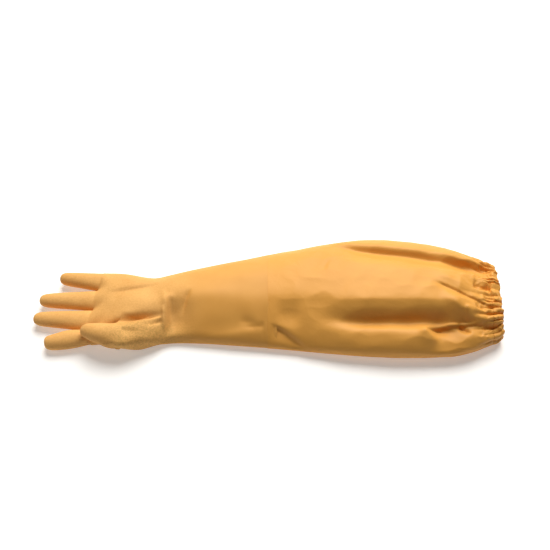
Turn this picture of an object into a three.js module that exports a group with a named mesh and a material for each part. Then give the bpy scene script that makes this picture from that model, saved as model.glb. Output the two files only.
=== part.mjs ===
// A rubber work glove with a shoulder-length sleeve, for the left hand. It lies palm up on a
// table, with the thumb resting over the palm. Three pieces are joined end to end: the dipped
// rubber glove with its gauntlet, a film sleeve lapped over the gauntlet's end, and the
// elastic hem that gathers the sleeve's mouth.
//
// Millimetres, +Z up, the table at Z = 0. X runs from the fingertips to the mouth of the
// sleeve, and the thumb lies on the -Y side.

import * as THREE from "three";

// Walls, and the gap that keeps bonded pieces apart.
const GLOVE_WALL = 1.4;
const SLEEVE_WALL = 1.1;
const HEM_WALL = 2.2;
const GAP = 0.35;

// Places along X.
const THUMB_CROTCH_X = -198; // where the thumb parts from the palm
const SEAM_X = 0; // the sleeve's lower edge, bonded round the gauntlet
const LAP = 12; // how far the gauntlet reaches into the sleeve
const HEM_X = 309; // where the sleeve meets its hem
const MOUTH_X = 324; // the hem's outer edge
const MOUTH_SLANT = 0.05; // how much further out the mouth lies on its far side
const MOUTH_LEAN = 0.1; // how far its upper edge leans back

// How finely each piece is faceted.
const GLOVE_SIDES = 28;
const SLEEVE_SIDES = 56;
const HEM_RUFFLES = 31;
const SIDES_PER_RUFFLE = 4;
const FINGER_SIDES = 10;

// Cross-sections of the flattened tube of glove and sleeve. near is the edge on the thumb's
// side and far the other, top is the height over the table, and belly is the height of the
// widest point as a share of top.
const SECTIONS = [
  { x: -246, near: -76, far: 46.5, top: 22, belly: 0.42 },
  { x: -222, near: -77, far: 46, top: 27, belly: 0.42 },
  { x: -198, near: -81, far: 41.5, top: 33, belly: 0.4 },
  { x: -176, near: -80, far: 36, top: 36, belly: 0.38 },
  { x: -160, near: -76, far: 34.5, top: 36, belly: 0.37 },
  { x: -132, near: -72, far: 41, top: 38, belly: 0.35 },
  { x: -90, near: -72, far: 52.5, top: 41, belly: 0.33 },
  { x: -40, near: -77, far: 64, top: 45, belly: 0.31 },
  { x: 12, near: -81.5, far: 75.5, top: 49, belly: 0.3 },
  { x: 60, near: -86.5, far: 85, top: 53, belly: 0.3 },
  { x: 110, near: -91, far: 94.5, top: 56, belly: 0.3 },
  { x: 160, near: -94.5, far: 97, top: 58, belly: 0.3 },
  { x: 210, near: -95.5, far: 92, top: 58, belly: 0.3 },
  { x: 250, near: -92.5, far: 84, top: 55, belly: 0.31 },
  { x: 280, near: -83.5, far: 74, top: 49, belly: 0.34 },
  { x: 298, near: -76, far: 65, top: 44, belly: 0.38 },
  { x: 311, near: -68.5, far: 57, top: 41, belly: 0.42 },
  { x: 324, near: -61, far: 50, top: 38, belly: 0.45 },
];

// Hollows, folds and ridges of the upper surface. Each runs in plan from (x0, y0) to (x1, y1),
// bowed sideways by bow at its middle. depth is how far it sinks, and negative for a ridge.
// near and far are its widths on the thumb's side and on the other side, and start and end
// are the shares of its length over which it fades in and out.
const FOLDS = [
  // The hollow of the palm beside the ball of the thumb, and the palm under the thumb.
  { x0: -226, y0: -42, x1: -138, y1: -33, bow: 0, depth: 17, near: 8, far: 11, start: 0.4, end: 0.35 },
  { x0: -196, y0: -62, x1: -262, y1: -62, bow: 0, depth: 8, near: 20, far: 20, start: 0.15, end: 0.3 },
  // A shallow groove along the far half of the palm.
  { x0: -232, y0: 12, x1: -150, y1: 28, bow: 3, depth: 3, near: 9, far: 6, start: 0.4, end: 0.4 },
  // The wrist: a low ridge across the heel of the palm, then the dent behind it.
  { x0: -146, y0: 10, x1: -146, y1: -62, bow: 3, depth: -3, near: 7, far: 5, start: 0.4, end: 0.3 },
  { x0: -104, y0: 10, x1: -132, y1: -72, bow: -3, depth: 11, near: 12, far: 8, start: 0.35, end: 0.3 },
  // The forearm: a slack hollow towards the seam, and the sharp crease beside it.
  { x0: -110, y0: -50, x1: -4, y1: -34, bow: 0, depth: 4, near: 14, far: 18, start: 0.4, end: 0.3 },
  { x0: 8, y0: -42, x1: 52, y1: -86, bow: 3, depth: 7, near: 9, far: 6, start: 0.4, end: 0.35 },
  // The sleeve's long ridge and the deep valley on the thumb's side of it.
  { x0: 12, y0: -14, x1: 262, y1: -31, bow: 0, depth: -5, near: 9, far: 26, start: 0.2, end: 0.3 },
  { x0: 60, y0: -38, x1: 292, y1: -47, bow: -2, depth: 25, near: 10, far: 12, start: 0.45, end: 0.22 },
  { x0: 84, y0: -62, x1: 224, y1: -67, bow: 0, depth: -6, near: 18, far: 9, start: 0.4, end: 0.3 },
  // The long valley just inside the far edge.
  { x0: 92, y0: 74, x1: 308, y1: 38, bow: -5, depth: 11, near: 11, far: 8, start: 0.4, end: 0.15 },
  // Pleats that run into the hem.
  { x0: 206, y0: 26, x1: 309, y1: 4, bow: 2, depth: 10, near: 8, far: 6, start: 0.35, end: 0.1 },
  { x0: 226, y0: 38, x1: 300, y1: 20, bow: 0, depth: -5, near: 8, far: 9, start: 0.4, end: 0.3 },
  { x0: 232, y0: -10, x1: 309, y1: -16, bow: 0, depth: -5, near: 9, far: 9, start: 0.4, end: 0.2 },
  { x0: 206, y0: -62, x1: 262, y1: -84, bow: 4, depth: -4, near: 9, far: 7, start: 0.3, end: 0.4 },
];

// The ball of the thumb, as ellipses round the near side of the palm. share is how much of the
// ellipse shows in place of the plain section.
const THUMB_BALL = [
  { x: -198, y: -65, z: 23, wide: 20, high: 18, share: 1 },
  { x: -184, y: -62, z: 22, wide: 20.5, high: 18, share: 0.95 },
  { x: -168, y: -58, z: 21, wide: 20, high: 16, share: 0.8 },
  { x: -152, y: -54, z: 20, wide: 20, high: 14, share: 0.4 },
  { x: -136, y: -52, z: 20, wide: 20, high: 14, share: 0 },
];

// Rings of the thumb beyond its crotch, the last one its point.
const THUMB = [
  { x: -210, y: -65.5, z: 28.5, wide: 17, high: 13.8 },
  { x: -222, y: -64.5, z: 31, wide: 15, high: 12 },
  { x: -233, y: -62.5, z: 31, wide: 13, high: 10.6 },
  { x: -242, y: -61, z: 30.4, wide: 10.6, high: 9.2 },
  { x: -248.5, y: -60, z: 30, wide: 7, high: 6.2 },
  { x: -251.5, y: -60, z: 30, wide: 0, high: 0 },
];

// Fingers from the far side to the near side. far and near are the two sides of the root, and
// wide and high are half the finger's width and height at its root.
const FINGERS = [
  { x: -236, far: 46, near: 16, tipX: -298.5, tipY: 37.5, wide: 11.6, high: 9.8, lift: 3 },
  { x: -241, far: 16, near: -16.5, tipX: -321.5, tipY: 0.5, wide: 12.4, high: 10, lift: 2 },
  { x: -243, far: -16.5, near: -46.5, tipX: -324.5, tipY: -29.5, wide: 12.2, high: 10, lift: 2 },
  { x: -240, far: -46.5, near: -76, tipX: -303.5, tipY: -66.5, wide: 15, high: 10.8, lift: 0 },
];
const WEB_TOP = 15; // height of the web between two fingers, palm side
const WEB_BOTTOM = 3.5;
const EDGE_TOP = 17; // the same at the palm's two outer edges
const EDGE_BOTTOM = 1.5;
const ROOT_TOP = 20.5; // height of a finger's root

// A finger's taper: along is the share of its length and size the share of its root's width.
const TAPER = [
  { along: 0.08, size: 1 },
  { along: 0.32, size: 0.99 },
  { along: 0.56, size: 0.97 },
  { along: 0.79, size: 0.94 },
  { along: 0.925, size: 0.78 },
  { along: 0.985, size: 0.45 },
];

const smooth = (t) => {
  const c = THREE.MathUtils.clamp(t, 0, 1);
  return c * c * (3 - 2 * c);
};

// A table's column at x, on a smooth curve through its rows.
function readTable(rows, x, column) {
  const rising = rows[0].x < rows[rows.length - 1].x;
  const ordered = rising ? rows : [...rows].reverse();
  const last = ordered.length - 1;
  if (x <= ordered[0].x) return ordered[0][column];
  if (x >= ordered[last].x) return ordered[last][column];
  const i = ordered.findIndex((row) => row.x > x) - 1;
  const slope = (k) => {
    const a = ordered[Math.max(k - 1, 0)];
    const b = ordered[Math.min(k + 1, last)];
    return (b[column] - a[column]) / (b.x - a.x);
  };
  const [a, b] = [ordered[i], ordered[i + 1]];
  const span = b.x - a.x;
  const t = (x - a.x) / span;
  return (
    (1 + 2 * t) * (1 - t) ** 2 * a[column] +
    t * (1 - t) ** 2 * span * slope(i) +
    t * t * (3 - 2 * t) * b[column] +
    t * t * (t - 1) * span * slope(i + 1)
  );
}

// How far the folds sink the upper surface at a point in plan.
function foldDepth(x, y) {
  let sunk = 0;
  for (const fold of FOLDS) {
    const runX = fold.x1 - fold.x0;
    const runY = fold.y1 - fold.y0;
    const length = Math.hypot(runX, runY);
    const t = ((x - fold.x0) * runX + (y - fold.y0) * runY) / length ** 2;
    if (t <= 0 || t >= 1) continue;
    const side = ((y - fold.y0) * runX - (x - fold.x0) * runY) / length - fold.bow * 4 * t * (1 - t);
    const towardsFar = runX > 0 ? side > 0 : side < 0;
    const width = towardsFar ? fold.far : fold.near;
    const along = smooth(t / fold.start) * smooth((1 - t) / fold.end);
    sunk += fold.depth * along * Math.exp(-((side / width) ** 2));
  }
  return sunk;
}

// The outline of a section is rounder above its widest line than below it, and flat where it
// lies on the table. q counts the glove's 28 sides from the far edge over the top.
const ROUND_ABOVE = 2.1;
const ROUND_BELOW = 3.4;
const SINK = 1.22; // how much deeper than the table the lower curve would reach
const SHOULDER = 0.93; // share of the half width at the first point from the edge
const QUARTER = GLOVE_SIDES / 4;

function angleAt(q) {
  if (q > GLOVE_SIDES / 2) return 2 * Math.PI - angleAt(GLOVE_SIDES - q);
  const edge = Math.acos(SHOULDER ** (ROUND_ABOVE / 2));
  if (q < 1) return q * edge;
  if (q > GLOVE_SIDES / 2 - 1) return Math.PI - (GLOVE_SIDES / 2 - q) * edge;
  const u = (SHOULDER * (QUARTER - q)) / (QUARTER - 1);
  return Math.acos(Math.sign(u) * Math.abs(u) ** (ROUND_ABOVE / 2));
}

// A point of the outer surface at x, at an angle round the section.
function sectionPoint(x, angle) {
  const [near, far, top, belly] = ["near", "far", "top", "belly"].map((c) => readTable(SECTIONS, x, c));
  const beltZ = top * belly;
  const above = Math.sin(angle) >= 0;
  const rise = above ? top - beltZ : SINK * beltZ;
  const round = 2 / (above ? ROUND_ABOVE : ROUND_BELOW);
  const c = Math.cos(angle);
  const s = Math.sin(angle);
  const y = (near + far) / 2 + ((far - near) / 2) * Math.sign(c) * Math.abs(c) ** (2 / ROUND_ABOVE);
  const lift = Math.sign(s) * Math.abs(s) ** round;
  let z = Math.max(beltZ + rise * lift, 0);
  if (above) z = Math.max(z - foldDepth(x, y) * smooth(lift * 1.6), beltZ * 0.55);
  const ending = smooth((x - 230) / 80);
  return new THREE.Vector3(x + ending * (MOUTH_SLANT * y - MOUTH_LEAN * z), y, z);
}

// The same point, drawn in by inset square to the section's outline.
function insetPoint(x, angle, inset) {
  const point = sectionPoint(x, angle);
  if (inset === 0) return point;
  const along = sectionPoint(x, angle + 0.02).sub(sectionPoint(x, angle - 0.02)).normalize();
  point.addScaledVector(new THREE.Vector3(0, along.z, -along.y), -inset);
  point.z = Math.max(point.z, inset);
  return point;
}

// A skin is a list of points and of faces with three or four corners, all facing out. Its open
// edges are where the piece ends.
class Skin {
  points = [];
  faces = [];

  add(point) {
    return this.points.push(point) - 1;
  }

  // Joins two loops of points, the second one nearer the fingertips.
  bridge(first, second) {
    first.forEach((a, i) => {
      const next = (i + 1) % first.length;
      this.faces.push([a, second[i], second[next], first[next]]);
    });
  }

  close(loop, tip) {
    loop.forEach((a, i) => this.faces.push([a, tip, loop[(i + 1) % loop.length]]));
  }
}

// Gives a skin its wall: the same faces again, drawn inwards, and a rim round each open edge.
function thicken(skin, wall) {
  const count = skin.points.length;
  const normals = skin.points.map(() => new THREE.Vector3());
  const open = new Map();
  for (const face of skin.faces) {
    face.forEach((a, i) => {
      const b = face[(i + 1) % face.length];
      const c = face[(i + face.length - 1) % face.length];
      const toB = skin.points[b].clone().sub(skin.points[a]);
      const toC = skin.points[c].clone().sub(skin.points[a]);
      const weight = toB.angleTo(toC);
      normals[a].addScaledVector(toB.cross(toC).normalize(), weight);
      if (!open.delete(`${b} ${a}`)) open.set(`${a} ${b}`, [a, b]);
    });
  }
  // Ends are cut square to X.
  for (const [a] of open.values()) normals[a].x = 0;
  const inside = skin.points.map((p, i) => p.clone().addScaledVector(normals[i].normalize(), -wall));
  const index = [];
  const addFace = ([a, b, c, d]) => {
    index.push(a, b, c);
    if (d !== undefined) index.push(a, c, d);
  };
  for (const face of skin.faces) {
    addFace(face);
    const [a, b, c, d] = face.map((k) => k + count);
    index.push(a, c, b);
    if (d !== undefined) index.push(a, d, c);
  }
  for (const [a, b] of open.values()) addFace([b, a, a + count, b + count]);
  const geometry = new THREE.BufferGeometry();
  geometry.setAttribute(
    "position",
    new THREE.Float32BufferAttribute([...skin.points, ...inside].flatMap((p) => p.toArray()), 3),
  );
  geometry.setIndex(index);
  geometry.computeVertexNormals();
  return geometry;
}

// One loop of the hand's tube. The points over the ball of the thumb leave the plain section.
const BALL_FIRST = 10;
const BALL_LAST = 14;
const BALL_STEP = Math.PI / 6;

function handLoop(skin, x, inset, withThumb) {
  return Array.from({ length: GLOVE_SIDES }, (_, q) => {
    const point = insetPoint(x, angleAt(q), inset);
    const share = readTable(THUMB_BALL, x, "share");
    if (withThumb && q >= BALL_FIRST && q <= BALL_LAST && share > 0) {
      const angle = (q - BALL_FIRST + 1) * BALL_STEP;
      const [y, z, wide, high] = ["y", "z", "wide", "high"].map((c) => readTable(THUMB_BALL, x, c));
      const ball = new THREE.Vector3(x, y + wide * Math.cos(angle), z + high * Math.sin(angle));
      point.lerp(ball, share);
    }
    return skin.add(point);
  });
}

// The thumb starts from a loop of twelve points: seven over the ball and five under the crotch.
function addThumb(skin, overBall, underCrotch) {
  const sides = 12;
  let loop = [...overBall, ...underCrotch];
  for (const row of THUMB) {
    if (row.wide === 0) {
      skin.close(loop, skin.add(new THREE.Vector3(row.x, row.y, row.z)));
      return;
    }
    const next = Array.from({ length: sides }, (_, i) => {
      const angle = (2 * Math.PI * i) / sides;
      return skin.add(
        new THREE.Vector3(row.x, row.y + row.wide * Math.cos(angle), row.z + row.high * Math.sin(angle)),
      );
    });
    skin.bridge(loop, next);
    loop = next;
  }
}

// A finger grows from its root loop: far side, four points over the top, near side and four
// points underneath.
function addFinger(skin, root, finger) {
  const start = new THREE.Vector3(finger.x, (finger.far + finger.near) / 2, finger.high + 0.3);
  const tip = new THREE.Vector3(finger.tipX, finger.tipY, finger.high * 0.95 + finger.lift);
  const across = new THREE.Vector3(0, 0, 1).cross(start.clone().sub(tip)).normalize();
  let loop = root;
  for (const { along, size } of TAPER) {
    const centre = start.clone().lerp(tip, along);
    const next = Array.from({ length: FINGER_SIDES }, (_, i) => {
      const angle = (2 * Math.PI * i) / FINGER_SIDES;
      const point = centre.clone().addScaledVector(across, finger.wide * size * Math.cos(angle));
      point.z = Math.max(point.z + finger.high * size * Math.sin(angle), 0);
      return skin.add(point);
    });
    skin.bridge(loop, next);
    loop = next;
  }
  skin.close(loop, skin.add(tip));
}

// The last loop of the palm lies along the roots of the fingers, so its points come from them.
const STEPS_PER_FINGER = 3;

function knuckleLoop(skin) {
  const rows = { top: [], bottom: [] };
  FINGERS.forEach((finger, f) => {
    const steps = f === FINGERS.length - 1 ? STEPS_PER_FINGER + 1 : STEPS_PER_FINGER;
    for (let k = 0; k < steps; k++) {
      const y = THREE.MathUtils.lerp(finger.far, finger.near, k / STEPS_PER_FINGER);
      const isWeb = k % STEPS_PER_FINGER === 0;
      const isEdge = isWeb && (f + k === 0 || k === STEPS_PER_FINGER);
      const shrink = isEdge ? (finger.far + finger.near > 0 ? -1.5 : 1.5) : 0;
      const topZ = isEdge ? EDGE_TOP : isWeb ? WEB_TOP : ROOT_TOP;
      const bottomZ = isEdge ? EDGE_BOTTOM : isWeb ? WEB_BOTTOM : 0;
      rows.top.push(skin.add(new THREE.Vector3(finger.x, y + shrink, topZ)));
      rows.bottom.push(skin.add(new THREE.Vector3(finger.x, y + shrink, bottomZ)));
    }
  });
  const side = (finger, y) => skin.add(new THREE.Vector3(finger.x, y, (WEB_TOP + WEB_BOTTOM) / 2));
  const farEdge = side(FINGERS[0], FINGERS[0].far);
  const nearEdge = side(FINGERS[3], FINGERS[3].near);
  return [farEdge, ...rows.top, nearEdge, ...rows.bottom.reverse()];
}

function handSkin() {
  const skin = new Skin();
  const lapInset = SLEEVE_WALL + 1.3 * GAP;
  const cuffStations = [LAP, -1, -10, -26, -44, -62, -80, -97, -110, -121, -131, -140, -149, -160, -172, -185];
  let loop = null;
  for (const x of cuffStations) {
    const inset = lapInset * smooth((x + 10) / 8);
    const next = handLoop(skin, x, inset, true);
    if (loop) skin.bridge(loop, next);
    loop = next;
  }
  // At the crotch the loop divides: the thumb takes the points over its ball.
  const split = handLoop(skin, THUMB_CROTCH_X, 0, true);
  skin.bridge(loop, split);
  const palm = [...split];
  for (let q = BALL_FIRST; q <= BALL_LAST; q++) {
    palm[q] = skin.add(sectionPoint(THUMB_CROTCH_X - 1, angleAt(q)));
  }
  const underCrotch = palm.slice(BALL_FIRST, BALL_LAST + 1).reverse();
  addThumb(skin, split.slice(BALL_FIRST - 1, BALL_LAST + 2), underCrotch);
  loop = palm;
  for (const x of [-211, -224]) {
    const next = handLoop(skin, x, 0, false);
    skin.bridge(loop, next);
    loop = next;
  }
  const knuckles = knuckleLoop(skin);
  skin.bridge(loop, knuckles);
  // Webs between fingers are shared by the two fingers beside them.
  const webs = [1, 2, 3].map((k) => {
    const { near } = FINGERS[k - 1];
    const x = (FINGERS[k - 1].x + FINGERS[k].x) / 2;
    return skin.add(new THREE.Vector3(x, near, (WEB_TOP + WEB_BOTTOM) / 2));
  });
  FINGERS.forEach((finger, f) => {
    const first = 1 + f * STEPS_PER_FINGER;
    const over = knuckles.slice(first, first + STEPS_PER_FINGER + 1);
    const under = over.map((_, k) => knuckles[GLOVE_SIDES - (first + STEPS_PER_FINGER - k)]);
    const farSide = f === 0 ? knuckles[0] : webs[f - 1];
    const nearSide = f === FINGERS.length - 1 ? knuckles[GLOVE_SIDES / 2] : webs[f];
    addFinger(skin, [farSide, ...over, nearSide, ...under], finger);
  });
  return skin;
}

function sleeveSkin() {
  const skin = new Skin();
  const stations = [
    HEM_X, 303, 296, 288, 279, 269, 258, 246, 233, 220, 206, 192, 178, 163, 147, 131, 115, 98, 81, 64, 48, 34, 22,
    LAP, SEAM_X,
  ];
  let loop = null;
  for (const x of stations) {
    const next = Array.from({ length: SLEEVE_SIDES }, (_, j) =>
      skin.add(sectionPoint(x, angleAt((j * GLOVE_SIDES) / SLEEVE_SIDES))),
    );
    if (loop) skin.bridge(loop, next);
    loop = next;
  }
  return skin;
}

// The hem is a folded tunnel with elastic in it, drawn into ruffles of even length round the mouth.
const RUFFLE = 2.0; // how far a ruffle stands out or in

function hemSkin() {
  const skin = new Skin();
  const sides = HEM_RUFFLES * SIDES_PER_RUFFLE;
  const fine = 720;
  let loop = null;
  for (const x of [MOUTH_X, MOUTH_X - 5, HEM_X + GAP + 4, HEM_X + GAP]) {
    const outline = Array.from({ length: fine + 1 }, (_, k) => sectionPoint(x, (2 * Math.PI * k) / fine));
    const lengths = [0];
    for (let k = 1; k <= fine; k++) lengths.push(lengths[k - 1] + outline[k].distanceTo(outline[k - 1]));
    const next = Array.from({ length: sides }, (_, j) => {
      const at = (lengths[fine] * j) / sides;
      const k = Math.max(lengths.findIndex((l) => l > at), 1);
      const point = outline[k - 1].clone().lerp(outline[k], (at - lengths[k - 1]) / (lengths[k] - lengths[k - 1]));
      const along = outline[k].clone().sub(outline[k - 1]).normalize();
      const outwards = new THREE.Vector3(0, along.z, -along.y);
      point.addScaledVector(outwards, RUFFLE * Math.sin((2 * Math.PI * j) / SIDES_PER_RUFFLE));
      point.z = Math.max(point.z, 0);
      return skin.add(point);
    });
    if (loop) skin.bridge(loop, next);
    loop = next;
  }
  return skin;
}

const rubber = new THREE.MeshStandardMaterial({ color: 0xc9983f, roughness: 0.75, metalness: 0 });
const film = new THREE.MeshStandardMaterial({ color: 0xe0a13d, roughness: 0.4, metalness: 0 });

function piece(name, geometry, material) {
  const mesh = new THREE.Mesh(geometry, material);
  mesh.name = name;
  return mesh;
}

const glove = new THREE.Group();
glove.add(
  piece("hand_glove", thicken(handSkin(), GLOVE_WALL), rubber),
  piece("sleeve", thicken(sleeveSkin(), SLEEVE_WALL), film),
  piece("elastic_hem", thicken(hemSkin(), HEM_WALL), film),
);

// The origin is the middle of the glove on the table.
const box = new THREE.Box3().setFromObject(glove);
glove.position.set(-(box.min.x + box.max.x) / 2, -(box.min.y + box.max.y) / 2, -box.min.z);

export default glove;
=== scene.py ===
import math
import bpy
import numpy as np
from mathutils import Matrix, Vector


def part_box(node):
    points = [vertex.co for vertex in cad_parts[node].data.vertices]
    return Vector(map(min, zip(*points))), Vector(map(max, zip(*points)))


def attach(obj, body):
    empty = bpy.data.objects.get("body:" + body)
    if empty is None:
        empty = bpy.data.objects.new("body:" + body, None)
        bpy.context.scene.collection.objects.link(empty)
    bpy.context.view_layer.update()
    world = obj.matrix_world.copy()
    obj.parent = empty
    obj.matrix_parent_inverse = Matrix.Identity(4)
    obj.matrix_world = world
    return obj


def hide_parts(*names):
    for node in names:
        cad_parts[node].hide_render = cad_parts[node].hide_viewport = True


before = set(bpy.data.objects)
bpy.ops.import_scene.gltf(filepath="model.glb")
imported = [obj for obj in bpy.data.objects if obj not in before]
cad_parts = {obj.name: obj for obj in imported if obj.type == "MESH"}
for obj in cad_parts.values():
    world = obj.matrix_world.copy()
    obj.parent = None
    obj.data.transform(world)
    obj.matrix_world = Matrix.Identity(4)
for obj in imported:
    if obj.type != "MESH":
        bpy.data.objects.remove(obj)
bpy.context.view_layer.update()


# The glove itself: dipped rubber in one piece, from the fingertips to the end of the
# gauntlet. It lies palm up with the thumb over the palm. The hand is rough for grip, and
# the gauntlet smooth. All shapes here are worked out in millimetres.
MM = 0.001

# The shapes count x from the sleeve's edge on the gauntlet, below zero towards the
# fingertips, and y away from the thumb's side. These two shifts bring them to where the
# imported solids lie.
SHIFT_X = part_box("sleeve")[0][0] / MM
SHIFT_Y = -0.74

# Cross-sections of the slack tube of glove and sleeve: near is its edge on the thumb's side,
# far the other edge, top its height, and belly the height of the widest point as a share of
# that. slope is how far the side towards the thumb is a straight slope, from a ridge at the
# share ridge of the half-width down to an edge at the height low.
SECTION_COLUMNS = ("x", "near", "far", "top", "belly", "slope", "ridge", "low")
SECTIONS = [
    (-246, -68, 45.3, 22, 0.42, 0, 0.1, 9),
    (-222, -70, 45.6, 27, 0.42, 0, 0.1, 11),
    (-198, -76.5, 41.5, 33, 0.4, 0, 0.1, 13),
    (-176, -79.5, 36, 36, 0.38, 0, 0.1, 13.5),
    (-160, -74.5, 34.5, 36, 0.37, 0.3, 0.05, 10),
    (-132, -65, 41, 39, 0.35, 0.65, 0, 0),
    (-90, -66, 52.5, 41.5, 0.33, 0.55, 0, 0),
    (-40, -70.5, 64, 45, 0.31, 0.5, 0.08, 2),
    (12, -75, 75.5, 49, 0.3, 0.55, 0.18, 3),
    (60, -81, 85, 53, 0.3, 0.55, 0.22, 6),
    (110, -87.5, 94.5, 56, 0.3, 0.35, 0.3, 12),
    (160, -91.3, 97, 58, 0.3, 0.1, 0.33, 15),
    (205, -92, 93, 58, 0.3, 0.15, 0.33, 16),
    (230, -91.3, 88.5, 56.8, 0.3, 0.75, 0.31, 19),
    (250, -90, 84, 55, 0.31, 0.65, 0.3, 19),
    (280, -83.5, 74, 49, 0.34, 0.3, 0.2, 19),
    (298, -76, 65, 44, 0.38, 0.1, 0.2, 17),
    (311, -68.5, 57, 41, 0.42, 0, 0.2, 17),
    (324, -61, 50, 38, 0.45, 0, 0.2, 17),
]

# How square the section is above and below its widest point. The round of the underside
# would reach SINK times the belly's height down, and the table presses it flat.
ROUND_ABOVE = 2.1
ROUND_BELOW = 3.4
SINK = 1.22

# The straight slope falls by SLOPE_FALL of the height, and a high power rounds its foot off.
# The bend at its ridge is sharp on the sleeve and softer on the hand. The belly comes down
# to the slope's edge three times as fast as the outline runs outwards.
SLOPE_FALL = 0.9
FOOT_POWER = 9
SLEEVE_BEND = 0.06
MORE_BEND_ON_HAND = 0.1
BEND_CHANGES_AT = 20
BEND_CHANGES_OVER = 70
BELLY_FALL = 3


def smooth(t):
    """0 up to t = 0, 1 from t = 1 on, and an S-curve between."""
    c = np.clip(t, 0, 1)
    return c * c * (3 - 2 * c)


def read_table(rows, columns, name, x):
    """A column of a table at x, on a smooth curve through its rows."""
    ordered = sorted(rows)
    xs = np.array([row[0] for row in ordered], float)
    ys = np.array([row[columns.index(name)] for row in ordered], float)
    slopes = np.zeros(len(xs))
    slopes[1:-1] = (ys[2:] - ys[:-2]) / (xs[2:] - xs[:-2])
    slopes[0] = (ys[1] - ys[0]) / (xs[1] - xs[0])
    slopes[-1] = (ys[-1] - ys[-2]) / (xs[-1] - xs[-2])
    x = np.clip(np.asarray(x, float), xs[0], xs[-1])
    i = np.clip(np.searchsorted(xs, x, side="right") - 1, 0, len(xs) - 2)
    span = xs[i + 1] - xs[i]
    t = (x - xs[i]) / span
    rise = (1 + 2 * t) * (1 - t) ** 2 * ys[i] + t * t * (3 - 2 * t) * ys[i + 1]
    return rise + span * (t * (1 - t) ** 2 * slopes[i] + t * t * (t - 1) * slopes[i + 1])


def section(name, x):
    return read_table(SECTIONS, SECTION_COLUMNS, name, x)


def belly_height(x):
    return section("top", x) * section("belly", x)


def tube(x, angle):
    """Points of the tube before it is folded. The angle runs from the far edge over the top."""
    x, angle = np.broadcast_arrays(np.asarray(x, float), np.asarray(angle, float))
    near = section("near", x)
    far = section("far", x)
    belly = belly_height(x)
    c = np.cos(angle)
    s = np.sin(angle)
    above = s >= 0
    out = np.abs(c) ** (2 / ROUND_ABOVE)
    y = (near + far) / 2 + (far - near) / 2 * np.sign(c) * out
    lift = np.sign(s) * np.abs(s) ** np.where(above, 2 / ROUND_ABOVE, 2 / ROUND_BELOW)
    slope = section("slope", x)
    ridge = section("ridge", x)
    bend = SLEEVE_BEND + MORE_BEND_ON_HAND * smooth((BEND_CHANGES_AT - x) / BEND_CHANGES_OVER)
    fall = bend * np.logaddexp(0, (out - ridge) / (1 - ridge) / bend)
    fall = fall - bend * np.logaddexp(0, -ridge / (1 - ridge) / bend)
    straight = (1 - SLOPE_FALL * fall) * np.clip(1 - out**FOOT_POWER, 0, 1) ** (1 / FOOT_POWER)
    lift = np.where(above & (c < 0), lift + slope * (straight - lift), lift)
    edge = belly + smooth(out * BELLY_FALL) * slope * (section("low", x) - belly)
    belly = np.where(c < 0, edge, belly)
    z = np.maximum(belly + np.where(above, section("top", x) - belly, SINK * belly) * lift, 0)
    return np.stack([x, y, z], -1)


def outwards(x, angle, step):
    """The way out of the tube at a point, square to the outline a step before and after it."""
    along = tube(x, angle + step) - tube(x, angle - step)
    along /= np.linalg.norm(along, axis=-1, keepdims=True)
    return np.stack([np.zeros(along.shape[:-1]), along[..., 2], -along[..., 1]], -1)


# Hollows, folds and ridges seen from above. Each runs from one end to the other, bowed
# sideways in the middle. A depth below zero is a ridge. near and far are its widths on its
# two sides, start and end the shares of its length over which it fades, and a low crisp
# makes a sharp crease.
FOLD_COLUMNS = ("x0", "y0", "x1", "y1", "bow", "depth", "near", "far", "start", "end", "crisp")
GLOVE_FOLDS = [
    (-230, -59, -139, -32, 2, 12, 4.5, 5.5, 0.4, 0.5, 1.6),  # groove between thumb and palm
    (-226, -53, -168, -46, 0, 4, 6, 7, 0.4, 0.5, 1.8),  # the palm's hollow beside it
    (-196, -62, -262, -62, 0, 6, 15, 12, 0.15, 0.3, 2),  # the palm under the thumb
    (-232, 4, -146, 16, -4, 2.6, 9, 4, 0.4, 0.4, 1.7),  # hollow in the palm's middle
    (-148, 8, -134, -62, 3, -2.6, 5, 4, 0.4, 0.3, 2),  # ridge at the heel of the hand
    (-34, -53, -3, -52, 0, 2, 5, 4, 0.4, 0.2, 1.6),  # crease running under the sleeve
    (-129, 2, -134, -69, 0, 8.5, 23, 7, 0.5, 0.1, 2),  # wide dip across the wrist
    (-106, 3, -118, -36, -1, 3.5, 2.5, 6, 0.35, 0.5, 1.4),  # crisp fold at its edge
    (-99, -62, -14, -47, 0, 3, 9, 17, 0.35, 0.25, 2),  # hollow along the gauntlet
    (-143, -22, -140, -60, 0, -3.2, 2.5, 3.5, 0.3, 0.3, 1.6),  # narrow ridge at the wrist
    (-140, -4, -126, -16, 0, -1.6, 5, 5, 0.5, 0.5, 2),  # low bump beside it
    (-42, -44, -12, -48, 0, 1.6, 5, 5, 0.5, 0.4, 1.6),  # shallow dent before the sleeve
    (-15, -60, -12, -78, 1, 1.4, 3, 3, 0.5, 0.4, 1.6),  # two short creases down the side
    (-5, -58, -2, -78, -2, 1.6, 3, 3, 0.5, 0.4, 1.6),
]
THUMB_FOLDS = [
    (-206, -60, -168, -63, -2, 3, 7, 4.5, 0.45, 0.45, 2),  # hollow along the ball
    (-166, -53, -142, -43, -1, 2.2, 2.5, 4, 0.4, 0.2, 1.4),  # crease towards the wrist
    (-180, -46, -138, -38, -1, -3, 5, 2.5, 0.3, 0.3, 1.6),  # ridge beside the groove
    (-184, -72, -150, -70, 0, -1.2, 6, 6, 0.5, 0.5, 2),  # the ball's outer swell
]


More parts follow.
